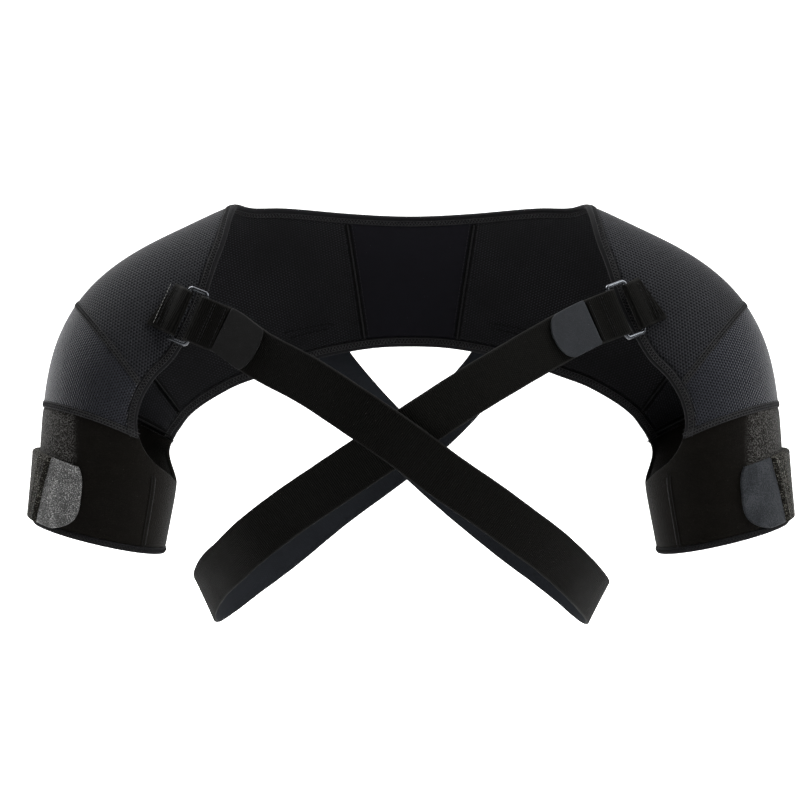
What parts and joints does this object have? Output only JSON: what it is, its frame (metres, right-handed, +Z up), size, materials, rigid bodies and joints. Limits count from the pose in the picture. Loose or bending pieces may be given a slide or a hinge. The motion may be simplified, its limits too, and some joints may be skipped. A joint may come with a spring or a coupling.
{
  "type": "double shoulder brace",
  "caption": "Neoprene brace over both shoulders and the upper back, with open-topped arm cuffs and webbing straps that cross the chest through metal rings.",
  "frame": {"origin": "on the shoulder line, midway between the two arms, where the brace hangs on its wearer", "axes": "+Z up, +X to the viewer's right as seen from the chest, -Y towards the chest"},
  "size_m": [0.523, 0.22, 0.2892],
  "materials": {
    "smooth_neoprene": "smooth knit over neoprene, matt, black with a trace of navy",
    "mesh_neoprene": "mesh-faced perforated neoprene, charcoal",
    "cap_neoprene": "mesh-faced perforated neoprene, charcoal with a bluish cast",
    "loop_pile": "brushed loop pile, black",
    "hem_fabric": "overlocked hem, black",
    "strip_pile": "coarse loop pile, brown-black",
    "cuff_tab_left": "hook tape backing, speckled light grey",
    "cuff_tab_right": "hook tape backing, slate",
    "strap_tab_left": "hook tape backing, near black",
    "strap_tab_right": "hook tape backing, slate",
    "webbing": "ribbed elastic webbing, black",
    "gunmetal": "dark plated wire, glossy"
  },
  "bodies": {
    "root": {"back_center_panel": "smooth_neoprene", "shoulder_panel_left": "mesh_neoprene", "shoulder_panel_right": "mesh_neoprene", "shoulder_cap_left": "cap_neoprene", "shoulder_cap_right": "cap_neoprene", "arm_cuff_left": "loop_pile", "arm_cuff_right": "loop_pile", "neck_hem": "hem_fabric", "lower_hem": "hem_fabric", "cuff_hem_left": "hem_fabric", "cuff_hem_right": "hem_fabric", "cuff_strap_left": "strip_pile", "cuff_strap_right": "strip_pile", "cuff_hook_tab_left": "cuff_tab_left", "cuff_hook_tab_right": "cuff_tab_right", "strap_anchor_left": "webbing", "strap_anchor_right": "webbing", "chest_strap_left": "webbing", "chest_strap_right": "webbing", "strap_ring_left": "gunmetal", "strap_ring_right": "gunmetal", "strap_hook_tab_left": "strap_tab_left", "strap_hook_tab_right": "strap_tab_right"}
  },
  "joints": []
}
